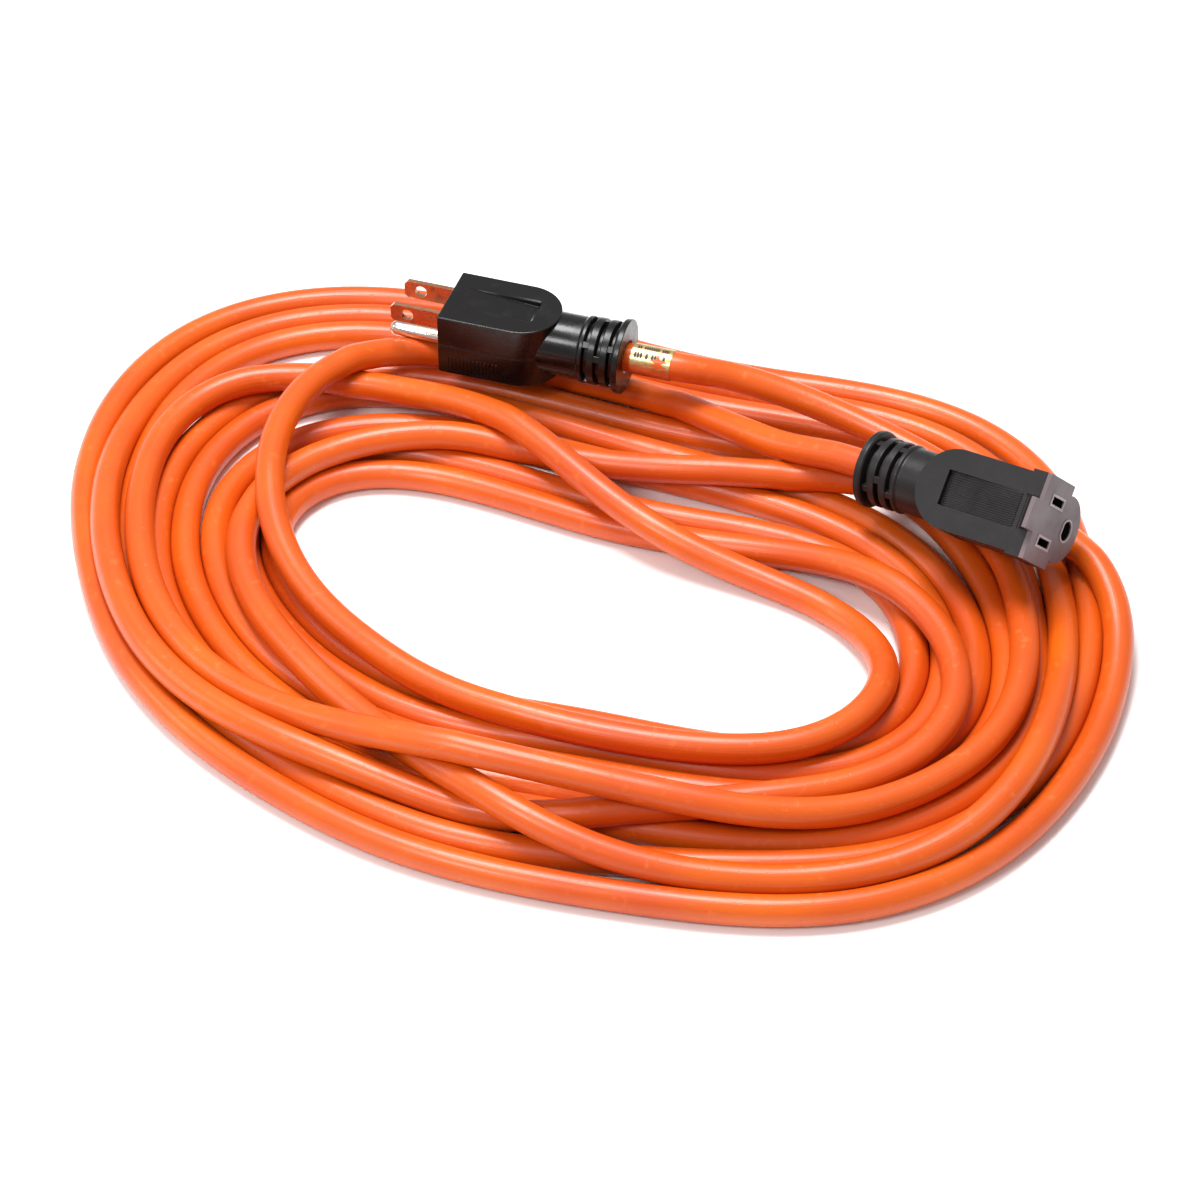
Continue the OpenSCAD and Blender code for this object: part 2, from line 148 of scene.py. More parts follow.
def smooth_line(knots, step):
    """Points along a smooth curve through the knots, and the knot number at each point."""
    ends = [2 * knots[0] - knots[1], *knots, 2 * knots[-1] - knots[-2]]
    points, numbers = [], []
    for i in range(1, len(ends) - 2):
        count = max(2, int(np.linalg.norm(ends[i + 1] - ends[i]) / step))
        for k in range(count):
            points.append(through(*ends[i - 1:i + 3], k / count))
            numbers.append(i - 1 + k / count)
    points.append(knots[-1])
    numbers.append(len(knots) - 1)
    return np.array(points), np.array(numbers)


def spaced(points, step, *others):
    """Points a step apart along a line, and other values carried to the same places."""
    along = np.concatenate([[0], np.cumsum(np.linalg.norm(np.diff(points, axis=0), axis=1))])
    places = np.linspace(0, along[-1], int(along[-1] / step) + 1)
    line = np.stack([np.interp(places, along, points[:, k]) for k in range(points.shape[1])], 1)
    return (line, *[np.interp(places, along, other) for other in others])


def softening(amount, reach=40):
    """Weights that smooth a line of evenly spaced points, as a stiff cord would."""
    count = 2 * reach + 1
    return np.linalg.inv(np.eye(count) + amount * bending(count))[reach]


def softened(values, weights):
    """Values smoothed along the cord, with both ends carried on straight."""
    reach = len(weights) // 2
    before = values[0] + (values[0] - values[1]) * np.arange(reach, 0, -1)
    after = values[-1] + (values[-1] - values[-2]) * np.arange(1, reach + 1)
    return np.convolve(np.concatenate([before, values, after]), weights, "valid")


def bending(count):
    """The matrix that measures how sharply a line of points bends."""
    ends = np.zeros((count, count))
    i = np.arange(1, count - 1)
    ends[i, i - 1] = 1
    ends[i, i] = -2
    ends[i, i + 1] = 1
    return ends.T @ ends


def moulding_balls():
    """Balls that fill the plug and the connector, so that the turns lie round them."""
    balls = []
    for x in np.arange(10.8, 36, 4):
        balls += [(on_plug(x, y), 10.75, 0) for y in (-2, 2)]
    for x in np.arange(36, 58, 4):
        balls.append((on_plug(x), 11.4, 0))
    for x in np.arange(9, 40, 4):
        balls += [(on_connector(x, y, 0.6), 9.0, 1) for y in (-4.2, 4.2)]
        balls.append((on_connector(x, 0, -10), 10.4, 1))
    for x in np.arange(42, 64, 4):
        balls.append((on_connector(x), 11.4, 1))
    return (np.array([b[0] for b in balls]), np.array([b[1] for b in balls]),
            np.array([b[2] for b in balls]))


def near_pairs(places, radii, cord_count, skip, side, lead_side):
    """Pairs that may touch: cord on cord further on, and cord on moulding."""
    spots = places.astype(np.float32)
    square = (spots ** 2).sum(1)
    gap = square[:, None] + square[None, :] - 2 * spots @ spots.T
    reach = (radii[:, None] + radii[None, :] + 5.0) ** 2
    first, second = np.nonzero(np.triu(gap < reach, 1))
    keep = (second - first > skip) & (first < cord_count)
    first, second = first[keep], second[keep]
    ball = second >= cord_count
    own = ball & (lead_side[first] == side[np.where(ball, second - cord_count, 0)])
    return first[~own], second[~own]


def push_apart(line, balls, radii, first, second, strength):
    """Moves touching pairs apart, by their overlap."""
    count = len(line)
    places = np.vstack([line, balls])
    apart = places[second] - places[first]
    distance = np.linalg.norm(apart, axis=1)
    limit = radii[first] + radii[second]
    touching = distance < limit
    if not touching.any():
        return line
    first, second = first[touching], second[touching]
    apart, distance, limit = apart[touching], distance[touching], limit[touching]
    share = np.where(second >= count, 1.0, 0.5) * strength
    push = apart / (distance[:, None] + 1e-9) * ((limit - distance) * share)[:, None]
    total, hits = np.zeros_like(places), np.zeros(len(places))
    np.add.at(total, first, -push)
    np.add.at(total, second, push)
    np.add.at(hits, first, 1)
    np.add.at(hits, second, 1)
    return line + (total / np.maximum(1, hits * 0.6)[:, None])[:count]


# Settling: how far the cord drops in a step, how hard it is drawn back to its home line, and
# the shares of an overlap that a push undoes while it falls and while it comes to rest
FALL = 0.45
LAST_FALL = 0.04
PULL_HOME = 0.03
PUSH = 0.55
LAST_PUSH = 0.7
FALLING_STEPS = 600
RESTING_STEPS = 140
SLOWING_STEPS = 40
# A late fall slows over this many steps to a small share, and the two ends of the cord, in
# samples, don't touch the fitting that they run into
FALL_FADES = 150
SLOWEST_SHARE = 0.12
END_SAMPLES = 18


def let_down(home, start, held, lift):
    """Lowers the cord until it rests, and keeps it near its home line in plan."""
    count = len(home)
    soft_z, soft_plan, soft_end = softening(60), softening(90), softening(12)
    balls, ball_r, side = moulding_balls()
    radii = np.concatenate([np.full(count, CORD_D / 2 + 0.03), ball_r])
    lead_side = np.full(count, -1)
    lead_side[:END_SAMPLES] = 0
    lead_side[-END_SAMPLES:] = 1
    side_lift = np.where(side == 0, lift[0], lift[-1])
    landing = int(start.max() / FALL) + 10
    skip = int(4.2 * CORD_D / SAMPLE)
    line = home.copy()
    line[:, 2] = start
    for step in range(FALLING_STEPS + RESTING_STEPS):
        left = max(0.0, 1 - step / landing)
        ending = step >= FALLING_STEPS
        late = max(0, step - landing - SLOWING_STEPS)
        slowed = FALL * max(SLOWEST_SHARE, 1 - late / FALL_FADES)
        line[:, 2] -= LAST_FALL if ending else slowed
        if not ending:
            line[:, :2] += PULL_HOME * (home[:, :2] - line[:, :2])
        plan = soft_end if ending else soft_plan
        for k in (0, 1):
            line[:, k] = home[:, k] + softened(line[:, k] - home[:, k], plan)
        line[:, 2] = softened(line[:, 2], soft_end if ending else soft_z)
        line[held] = home[held]
        line[held, 2] += lift[held] * left
        now = balls.copy()
        now[:, 2] += side_lift * left
        if step % 8 == 0:
            first, second = near_pairs(np.vstack([line, now]), radii, count, skip, side, lead_side)
        for _ in range(4 if ending else 3):
            line = push_apart(line, now, radii, first, second,
                              LAST_PUSH if ending else PUSH)
            line[:, 2] = np.maximum(line[:, 2], CORD_D / 2)
            line[held] = home[held]
            line[held, 2] += lift[held] * left
    return line


# Heights before settling: the first turn, the step from turn to turn, and the plug's lead
# over the top turn. The home line is smoothed in plan by the stiffness.
FIRST_TURN_Z = 5
HOME_STIFFNESS = 500
HELD_WEIGHT = 1e6
TURN_RISE = 9.6
LEAD_OVER_TOP = 14
# The share of the first turn in which the plug's lead comes down to the coil
RAMP_TURNS = 0.4


def cord_line():
    """The middle of the cord from the plug's relief to the connector's, in millimetres."""
    keys = int(round(COIL_STATIONS * KEYS_PER_STATION))
    coil = [coil_point(COIL_STATIONS * k / keys) for k in range(keys + 1)]
    knots = PLUG_LEAD + coil + LAST_TURN + CONNECTOR_LEAD[::-1]
    dense, numbers = smooth_line(knots, 1.0)
    flat, number, height = spaced(dense[:, :2], SAMPLE, numbers, dense[:, 2])
    home = np.column_stack([flat, height])
    held = (number < len(PLUG_LEAD) - 1.5) | (number > len(knots) - len(CONNECTOR_LEAD) + 0.5)
    weight = np.where(held, HELD_WEIGHT, 1.0)
    home[:, :2] = np.linalg.solve(np.diag(weight) + HOME_STIFFNESS * bending(len(home)),
                                  weight[:, None] * home[:, :2])
    turns = (number - len(PLUG_LEAD)) / (STATIONS * KEYS_PER_STATION)
    last = COIL_STATIONS / STATIONS
    top = FIRST_TURN_Z + last * TURN_RISE
    start = FIRST_TURN_Z + np.clip(turns, 0, last) * TURN_RISE
    over = np.clip(1 - turns / RAMP_TURNS, 0, 1)
    over = over * over * (3 - 2 * over)
    start += over * (top + LEAD_OVER_TOP - start)
    middle = len(home) // 2
    lift = np.where(np.arange(len(home)) < middle, top + LEAD_OVER_TOP - PLUG_LEAD[-1][2],
                    top - CONNECTOR_LEAD[-1][2])
    start[held] = home[held, 2] + lift[held]
    return let_down(home, start, held, lift)


# ---- Camera, light and floor ----

AIM = Vector((4.5, -5.7, 0)) * MM
CAMERA_TILT = math.radians(42)
CAMERA_AWAY = 1.1


def add_to_scene(name, data):
    """A new object in the scene."""
    made = bpy.data.objects.new(name, data)
    bpy.context.scene.collection.objects.link(made)
    return made


def soft_light(name, place, size, power, tint=(1, 1, 1)):
    """A large square lamp that points at the hank."""
    lamp = bpy.data.lights.new(name, "AREA")
    lamp.size = size
    lamp.energy = power
    lamp.color = tint
    made = add_to_scene(name, lamp)
    made.location = place
    made.rotation_euler = (AIM - Vector(place)).to_track_quat("-Z", "Y").to_euler()
    return made


camera = add_to_scene("camera", bpy.data.cameras.new("camera"))
camera.data.sensor_width = 36
camera.data.lens = 108.9
camera.location = AIM + CAMERA_AWAY * Vector((0, -math.cos(CAMERA_TILT), math.sin(CAMERA_TILT)))
camera.rotation_euler = (AIM - camera.location).to_track_quat("-Z", "Y").to_euler()
bpy.context.scene.camera = camera

soft_light("overhead_light", (-0.10, 0.22, 1.15), 0.50, 18)
soft_light("front_light", (-0.56, -0.66, 0.95), 0.26, 5)
soft_light("side_light", (-1.20, 0.10, 0.70), 0.50, 3)

world = bpy.data.worlds.new("studio")
world.use_nodes = True
world.node_tree.nodes["Background"].inputs["Color"].default_value = (1, 1, 1, 1)
world.node_tree.nodes["Background"].inputs["Strength"].default_value = 0.50
bpy.context.scene.world = world
bpy.context.scene.view_settings.view_transform = "Standard"


# ---- Finishes ----

def paint(red, green, blue):
    """A colour given as on a screen, from 0 to 255, as the linear colour a shader takes."""
    def linear(level):
        level = level / 255
        return level / 12.92 if level <= 0.04045 else ((level + 0.055) / 1.055) ** 2.4
    return (linear(red), linear(green), linear(blue), 1.0)


class Value:
    """A number or colour that varies over a finish. Sums on it add Math nodes."""

    def __init__(self, finish, socket):
        self.finish = finish
        self.socket = socket

    def sum(self, operation, *values):
        return self.finish.node("ShaderNodeMath", {"operation": operation}, values)

    def __add__(self, other):
        return self.sum("ADD", self, other)

    def __radd__(self, other):
        return self.sum("ADD", other, self)

    def __sub__(self, other):
        return self.sum("SUBTRACT", self, other)

    def __rsub__(self, other):
        return self.sum("SUBTRACT", other, self)

    def __mul__(self, other):
        return self.sum("MULTIPLY", self, other)

    def __rmul__(self, other):
        return self.sum("MULTIPLY", other, self)

    def __gt__(self, other):
        return self.sum("GREATER_THAN", self, other)

    def __lt__(self, other):
        return self.sum("LESS_THAN", self, other)


class Finish:
    """A surface finish for one kind of stuff, made from nodes."""

    def __init__(self, name, **fixed):
        self.material = bpy.data.materials.new(name)
        self.material.use_nodes = True
        self.tree = self.material.node_tree
        self.shader = self.tree.nodes["Principled BSDF"]
        for socket, value in fixed.items():
            self.shader.inputs[socket.replace("_", " ")].default_value = value

    def node(self, kind, settings=None, values=(), output=0):
        """Any node: its settings first, then the values or links of its sockets."""
        made = self.tree.nodes.new(kind)
        for name, setting in (settings or {}).items():
            if name == "stops":
                ramp = made.color_ramp
                while len(ramp.elements) < len(setting):
                    ramp.elements.new(0.5)
                for element, (place, colour) in zip(ramp.elements, setting):
                    element.position = place
                    element.color = colour
            else:
                setattr(made, name, setting)
        for key, value in values.items() if isinstance(values, dict) else enumerate(values):
            self.feed(made.inputs[key], value)
        return Value(self, made.outputs[output])

    def feed(self, socket, value):
        if isinstance(value, Value):
            self.tree.links.new(value.socket, socket)
        else:
            socket.default_value = value

    def give(self, name, value):
        self.feed(self.shader.inputs[name], value)

    def here(self, output="Object"):
        return self.node("ShaderNodeTexCoord", output=output)

    def stretched(self, place, scale, turn=(0, 0, 0)):
        """The place with each direction scaled, after a turn."""
        return self.node("ShaderNodeMapping", {"vector_type": "TEXTURE"},
                         {"Vector": place, "Rotation": turn,
                          "Scale": tuple(1 / s for s in scale)})

    def noise(self, place, scale, detail=3.0):
        return self.node("ShaderNodeTexNoise", {},
                         {"Vector": place, "Scale": scale, "Detail": detail})

    def level(self, value, low, high, start=0.0, end=1.0):
        """A value between low and high, brought to start and end and kept there."""
        return self.node("ShaderNodeMapRange", {}, [value, low, high, start, end])

    def mixed(self, share, first, second):
        return self.node("ShaderNodeMix", {"data_type": "RGBA"}, {0: share, 6: first, 7: second},
                         output=2)

    def relief(self, height, distance, strength=1.0):
        self.give("Normal", self.node("ShaderNodeBump", {},
                                      {"Height": height, "Distance": distance,
                                       "Strength": strength}))


def vinyl(name, colour, shade, rough, grain=0.00003, grain_scale=1400, gloss=0.0):
    """Moulded flexible plastic: soft mottling, a fine mould grain and rubbed patches."""
    made = Finish(name, Coat_Weight=gloss, Coat_Roughness=0.12, Specular_IOR_Level=0.32)
    here = made.here()
    cloud = made.level(made.noise(here, 60), 0.35, 0.65)
    rub = made.level(made.noise(here, 210, 5.0), 0.52, 0.70)
    fine = made.noise(here, grain_scale, 2.0)
    made.give("Base Color", made.mixed(cloud, colour, shade))
    made.give("Roughness", rough + 0.10 * cloud + 0.12 * rub)
    made.relief(fine + 1.5 * made.noise(here, grain_scale / 7), grain)
    return made


def metal(name, colour, dull, rough, lengthwise=(1, 1, 1), turn=(0, 0, 0)):
    """Bare or plated metal: drawn lines, thin tarnish and small dull spots."""
    made = Finish(name, Metallic=1.0)
    here = made.here()
    drawn = made.noise(made.stretched(here, lengthwise, turn), 2600, 2.0)
    spots = made.level(made.noise(here, 420, 6.0), 0.50, 0.68)
    film = made.level(made.noise(here, 90), 0.35, 0.70)
    made.give("Base Color", made.mixed(0.35 * film + 0.45 * spots, colour, dull))
    made.give("Roughness", rough + 0.08 * drawn + 0.18 * spots)
    made.relief(drawn + 0.6 * spots, 0.000015)
    return made


def jacket():
    """The orange jacket: drawn lines along it, a faint twist of the cores, dust and scuffs."""
    made = Finish("orange_jacket_vinyl", Coat_Weight=0.12, Coat_Roughness=0.2,
                  Specular_IOR_Level=0.42)
    here = made.here()
    strip = made.here("UV")
    along = made.node("ShaderNodeSeparateXYZ", {}, [strip], output="X")
    round_it = made.node("ShaderNodeSeparateXYZ", {}, [strip], output="Y")
    angle = round_it * (2 * math.pi)
    cosine = angle.sum("COSINE", angle)
    sine = angle.sum("SINE", angle)
    ring = made.node("ShaderNodeCombineXYZ", {}, [cosine, sine, along * 5.0])
    lines = made.noise(ring, 9.0, 2.0)
    twist_angle = 3.0 * angle + along * (2 * math.pi / 0.085)
    twist = twist_angle.sum("COSINE", twist_angle)
    cloud = made.level(made.noise(here, 26), 0.32, 0.68)
    slow = made.level(made.noise(made.node("ShaderNodeCombineXYZ", {}, [along * 14.0, 0.0, 0.0]), 1.0),
                      0.30, 0.70)
    scuff = made.level(made.noise(here, 330, 6.0), 0.60, 0.74)
    pits = made.level(made.noise(here, 900, 3.0), 0.62, 0.80)
    vivid = made.mixed(cloud, paint(218, 98, 12), paint(206, 80, 10))
    worn = made.mixed(0.55 * slow, vivid, paint(188, 62, 9))
    made.give("Base Color", made.mixed(0.22 * scuff, worn, paint(226, 130, 56)))
    made.give("Roughness", 0.32 + 0.09 * cloud + 0.20 * scuff)
    made.relief(1.0 * lines + 0.55 * twist + 0.5 * scuff - 0.8 * pits, 0.00007)
    return made


def foil():
    """Gold foil with two rows of plain dark bars, printed round the sleeve, and a painted reflection
    of the orange cord on its lower side.
    """
    made = Finish("gold_foil_label", Coat_Weight=0.3, Coat_Roughness=0.1)
    strip = made.here("UV")
    along = made.node("ShaderNodeSeparateXYZ", {}, [strip], output="X")
    round_it = made.node("ShaderNodeSeparateXYZ", {}, [strip], output="Y")
    crease = made.noise(made.here(), 500, 4.0)
    ink = 0.0
    for row, (middle, half, count) in enumerate(((0.50, 0.022, 18), (0.60, 0.034, 14))):
        column = (along * count).sum("FLOOR", along * count)
        dark = made.node("ShaderNodeTexWhiteNoise", {"noise_dimensions": "1D"},
                         {"W": column + 7.3 * row}) > 0.25
        off = round_it - middle
        inside = off.sum("ABSOLUTE", off) < half
        gap = along * count - column
        ink = ink + dark * inside * (gap > 0.16) * (along > 0.08) * (along < 0.92)
    pale = made.mixed(made.level(crease, 0.35, 0.65), paint(226, 206, 152), paint(196, 158, 92))
    # Painted reflection: from the middle of one side round to the bottom the foil is mixed to a
    # reddish tone, standing in for the orange cord below reflected in it
    gold_and_painted_reflection = made.mixed(made.level(round_it, 0.66, 0.80), pale, paint(196, 110, 58))
    made.give("Base Color", made.mixed(ink, gold_and_painted_reflection, paint(58, 34, 20)))
    made.give("Metallic", 0.85 - 0.7 * ink)
    made.give("Roughness", 0.24 + 0.14 * crease + 0.2 * ink)
    made.relief(crease - 0.3 * ink, 0.00006)
    return made


def pale_floor():
    """A plain pale floor with a barely visible tooth."""
    made = Finish("pale_floor", Specular_IOR_Level=0.15)
    here = made.here()
    made.give("Base Color", made.mixed(made.noise(here, 4.0), paint(247, 247, 247),
                                       paint(251, 251, 251)))
    made.give("Roughness", 0.80 + 0.1 * made.noise(here, 300))
    return made


def flat_square(name, half, finish):
    """A level square under everything."""
    shape = bmesh.new()
    bmesh.ops.create_grid(shape, x_segments=1, y_segments=1, size=half)
    mesh = bpy.data.meshes.new(name)
    shape.to_mesh(mesh)
    shape.free()
    mesh.materials.append(finish.material)
    return add_to_scene(name, mesh)


flat_square("floor", 6.0, pale_floor())

BLADE_TURN = tuple(math.radians(a) for a in PLUG_TURN)
CONTACT_TURN = tuple(math.radians(a) for a in CONN_TURN)
ALONG = (0.04, 1, 1)

orange_jacket = jacket()
gold_foil = foil()
plug_black = vinyl("plug_black_vinyl", paint(14, 11, 12), paint(7, 6, 6), 0.22, gloss=0.1)
connector_black = vinyl("connector_black_vinyl", paint(31, 28, 29), paint(20, 18, 19), 0.34,
                        0.00004)
# The connector's face is black plastic: its grey here is painted sheen
face_painted_sheen = vinyl("connector_face_painted_sheen", paint(112, 99, 103), paint(96, 84, 88), 0.38)
# Painted highlight: the light grey of the rims round the openings stands in for light caught on their
# edges
rim_painted_highlight = vinyl("opening_rim_painted_highlight", paint(176, 166, 168), paint(150, 140, 143), 0.34)
block_grey = vinyl("inner_block_plastic", paint(92, 92, 94), paint(78, 78, 80), 0.50)
blade_brass = metal("blade_brass", paint(208, 156, 122), paint(132, 84, 60), 0.24, ALONG,
                    BLADE_TURN)
pin_nickel = metal("pin_nickel", paint(232, 226, 216), paint(168, 158, 148), 0.14, ALONG,
                   BLADE_TURN)
contact_brass = metal("contact_brass", paint(226, 190, 116), paint(150, 112, 60), 0.28, ALONG,
                      CONTACT_TURN)
copper = metal("bare_copper", paint(222, 138, 92), paint(140, 74, 46), 0.30, ALONG, BLADE_TURN)
wire_black = vinyl("wire_black_vinyl", paint(36, 36, 36), paint(24, 24, 24), 0.35)
wire_white = vinyl("wire_white_vinyl", paint(238, 238, 232), paint(224, 222, 214), 0.35)
wire_green = vinyl("wire_green_vinyl", paint(44, 148, 76), paint(34, 124, 62), 0.35)


# ---- The cord ----

def tube(name, line, radius, sides, finish):
    """A closed round tube along a line of points, with the metres along it as its UV."""
    count = len(line)
    aim = np.gradient(line, axis=0)
    aim /= np.linalg.norm(aim, axis=1)[:, None]
    side = np.cross(aim[0], (0.0, 0.0, 1.0))
    sides_at = np.zeros_like(line)
    for i in range(count):
        side = side - aim[i] * (side @ aim[i])
        side = side / np.linalg.norm(side)
        sides_at[i] = side
    ups = np.cross(sides_at, aim)
    turns = np.linspace(0, 2 * math.pi, sides, endpoint=False)
    rings = (line[:, None, :] + radius * (np.cos(turns)[None, :, None] * sides_at[:, None, :]
                                          + np.sin(turns)[None, :, None] * ups[:, None, :]))
    along = np.concatenate([[0], np.cumsum(np.linalg.norm(np.diff(line, axis=0), axis=1))])
    faces, marks = [], []
    for i in range(count - 1):
        for k in range(sides):
            after = (k + 1) % sides
            faces.append((i * sides + k, i * sides + after, (i + 1) * sides + after,
                          (i + 1) * sides + k))
            low, high = k / sides, (k + 1) / sides
            marks += [(along[i], low), (along[i], high), (along[i + 1], high),
                      (along[i + 1], low)]
    for i, ring in ((0, range(sides - 1, -1, -1)), (count - 1, range(sides))):
        faces.append(tuple(i * sides + k for k in ring))
        marks += [(along[i], k / sides) for k in ring]
    mesh = bpy.data.meshes.new(name)
    mesh.from_pydata(rings.reshape(-1, 3).tolist(), [], faces)
    strip = mesh.uv_layers.new(name="strip")
    strip.data.foreach_set("uv", np.array(marks, np.float32).ravel())
    mesh.polygons.foreach_set("use_smooth", [len(f) == 4 for f in faces])
    mesh.materials.append(finish.material)
    mesh.validate()
    return add_to_scene(name, mesh)


settled = cord_line()
settled = np.vstack([on_plug(PLUG_END - 4), settled, on_connector(CONN_END - 4)])
fine, _ = smooth_line(list(settled), 1.0)
cord_path = spaced(fine, 2.5)[0] * MM
cord = tube("cord", cord_path, CORD_D / 2 * MM, 16, orange_jacket)
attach(cord, "root")
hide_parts("cord_hank", "plug_lead", "connector_lead")


# ---- Moulded pieces ----

def in_row(place, turn):
    """From a fitting's own frame in millimetres to the row frame in metres."""
    return (Matrix.Translation(Vector(place) * MM)
            @ Euler([math.radians(a) for a in turn], "XYZ").to_matrix().to_4x4()
            @ Matrix.Scale(MM, 4))


IN_PLUG = in_row(PLUG_AT, PLUG_TURN)
IN_CONN = in_row(CONN_AT, CONN_TURN)


def finished(name, shape, place, finish, nodes=(), edge=0.0, segments=2, sharp=60):
    """A bmesh as a piece of the cord, with its edges broken."""
    bmesh.ops.recalc_face_normals(shape, faces=shape.faces)
    bmesh.ops.transform(shape, matrix=place, verts=shape.verts)
    for face in shape.faces:
        face.smooth = True
    mesh = bpy.data.meshes.new(name)
    shape.to_mesh(mesh)
    shape.free()
    mesh.set_sharp_from_angle(angle=math.radians(min(sharp, 32)))
    mesh.materials.append(finish.material)
    made = add_to_scene(name, mesh)
    if edge:
        bevel = made.modifiers.new("broken_edges", "BEVEL")
        bevel.width = edge * MM
        bevel.segments = segments
        bevel.limit_method = "ANGLE"
        bevel.angle_limit = math.radians(sharp)
        bevel.harden_normals = True
        bevel.miter_outer = "MITER_ARC"
    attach(made, "root")
    if nodes:
        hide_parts(*nodes)
    return made


def stacked(loops):
    """A closed solid through loops of equal count."""
    shape = bmesh.new()
    rings = []
    for loop in loops:
        corners = [shape.verts.new(point) for point in loop]
        rings.append([shape.edges.new((corners[i - 1], corners[i])) for i in range(len(corners))])
        if loop is loops[0] or loop is loops[-1]:
            shape.faces.new(corners)
    for low, high in zip(rings, rings[1:]):
        bmesh.ops.bridge_loops(shape, edges=low + high)
    bmesh.ops.recalc_face_normals(shape, faces=shape.faces)
    return shape


def block(low, high, turn=None, corner=0.0):
    """A box between two corners, turned about its first corner, with upright edges rounded."""
    shape = bmesh.new()
    bmesh.ops.create_cube(shape, size=1)
    size = Vector(high) - Vector(low)
    bmesh.ops.scale(shape, vec=size, verts=shape.verts)
    bmesh.ops.translate(shape, vec=size / 2, verts=shape.verts)
    if corner:
        upright = [e for e in shape.edges if abs(e.verts[0].co.z - e.verts[1].co.z) > size.z / 2]
        bmesh.ops.bevel(shape, geom=upright, offset=corner, segments=5, affect="EDGES",
                        profile=0.5, material=-1)
    if turn:
        bmesh.ops.transform(shape, matrix=turn, verts=shape.verts)
    bmesh.ops.translate(shape, vec=low, verts=shape.verts)
    return shape


def carved(shape, tool, way="DIFFERENCE"):
    """A solid cut by, joined to or kept within another."""
    meshes = []
    for i, solid in enumerate((shape, tool)):
        mesh = bpy.data.meshes.new(f"carving_{i}")
        solid.to_mesh(mesh)
        solid.free()
        meshes.append(add_to_scene(f"carving_{i}", mesh))
    cut = meshes[0].modifiers.new("cut", "BOOLEAN")
    cut.operation = way
    cut.solver = "EXACT"
    cut.object = meshes[1]
    graph = bpy.context.evaluated_depsgraph_get()
    out = bmesh.new()
    out.from_mesh(bpy.data.meshes.new_from_object(meshes[0].evaluated_get(graph)))
    for made in meshes:
        bpy.data.meshes.remove(made.data)
    bmesh.ops.remove_doubles(out, verts=out.verts, dist=0.001)
    bmesh.ops.dissolve_limit(out, angle_limit=math.radians(0.6), verts=out.verts,
                             edges=out.edges)
    return out


def merged_shapes(shapes):
    """Several bmeshes as one."""
    out = bmesh.new()
    for shape in shapes:
        mesh = bpy.data.meshes.new("part_of_piece")
        shape.to_mesh(mesh)
        shape.free()
        out.from_mesh(mesh)
        bpy.data.meshes.remove(mesh)
    return out


def d_loop(length, width, z, inset=0.0, x0=0.0):
    """Straight-sided loop that ends in a half circle towards +X."""
    half = width / 2
    centre = length - half
    bend = [math.radians(-90 + 7.5 * k) for k in range(25)]
    reach = half - inset
    return ([(x0 + inset, -reach, z)] + [(centre + reach * math.cos(a), reach * math.sin(a), z)
                                         for a in bend] + [(x0 + inset, reach, z)])


def spun(profile, steps=72):
    """A solid of revolution about X, from its (x, radius) profile between two axis points."""
    shape = bmesh.new()
    corners = [shape.verts.new((x, 0, r)) for x, r in profile]
    edges = [shape.edges.new(pair) for pair in zip(corners, corners[1:])]
    bmesh.ops.spin(shape, geom=corners + edges, cent=(0, 0, 0), axis=(1, 0, 0),
                   angle=2 * math.pi, steps=steps, use_merge=True)
    bmesh.ops.remove_doubles(shape, verts=shape.verts, dist=0.0005)
    bmesh.ops.recalc_face_normals(shape, faces=shape.faces)
    return shape


RELIEF_L = 22
RIB = 2.4
GROOVE = 1.7
GROOVE_R = 8.5
RIB_R = 10.75
COLLAR_R = 12.0


def strain_relief(x0, root):
    """Ribbed relief: a plain root, three ring grooves crossed by webs, and a flared collar."""
    first = RELIEF_L - 3 * (RIB + GROOVE) - 1.2
    profile = [(x0 - root, 0), (x0 - root, RIB_R - 0.6), (x0 + first - 0.6, RIB_R - 0.6),
               (x0 + first, RIB_R)]
    starts = [x0 + first + 1.2 + i * (RIB + GROOVE) for i in range(3)]
    for start in starts:
        profile += [(start, RIB_R), (start + 0.15, GROOVE_R), (start + GROOVE - 0.15, GROOVE_R),
                    (start + GROOVE, RIB_R)]
    end = x0 + RELIEF_L
    profile += [(end - RIB + 0.05, COLLAR_R - 0.5), (end - RIB + 0.6, COLLAR_R), (end, COLLAR_R),
                (end, CORD_D / 2 + 0.7), (end - 0.9, CORD_D / 2 - 0.15), (end - 4, CORD_D / 2 - 0.15),
                (end - 4, 0)]
    webs = []
    for i, start in enumerate(starts):
        for turn in range(4):
            angle = math.radians(45 + 90 * turn + (22 if i == 1 else 0))
            web = block((start - 0.3, -1.1, GROOVE_R - 1.0), (start + GROOVE + 0.3, 1.1, RIB_R - 0.25))
            bmesh.ops.rotate(web, cent=(0, 0, 0), matrix=Matrix.Rotation(angle, 3, "X"),
                             verts=web.verts)
            webs.append(web)
    return merged_shapes([spun(profile), *webs])


# Plug body: a D-shaped block with a parting line at mid height and a thumb pocket
PLUG_L, PLUG_W, PLUG_H = 37, 25, 21.5
TILT = Matrix.Rotation(math.radians(4), 4, "Y")
PARTING = 0.4
plug_levels = ((-PLUG_H / 2, 0), (-PARTING, 0), (0, 0.28), (PARTING, 0), (PLUG_H / 2, 0))
plug_solid = stacked([d_loop(PLUG_L, PLUG_W, z, inset) for z, inset in plug_levels])
pocket = block((4, -4.8, PLUG_H / 2), (29, 4.8, PLUG_H / 2 + 6), TILT)
plug_body = finished("plug_body", carved(plug_solid, pocket), IN_PLUG, plug_black,
                     ["plug_overmould"], 0.5, 3)

plug_collar = finished("plug_strain_relief", strain_relief(PLUG_L, 9), IN_PLUG, plug_black,
                       ["plug_overmould"], 0.3, 2, 40)

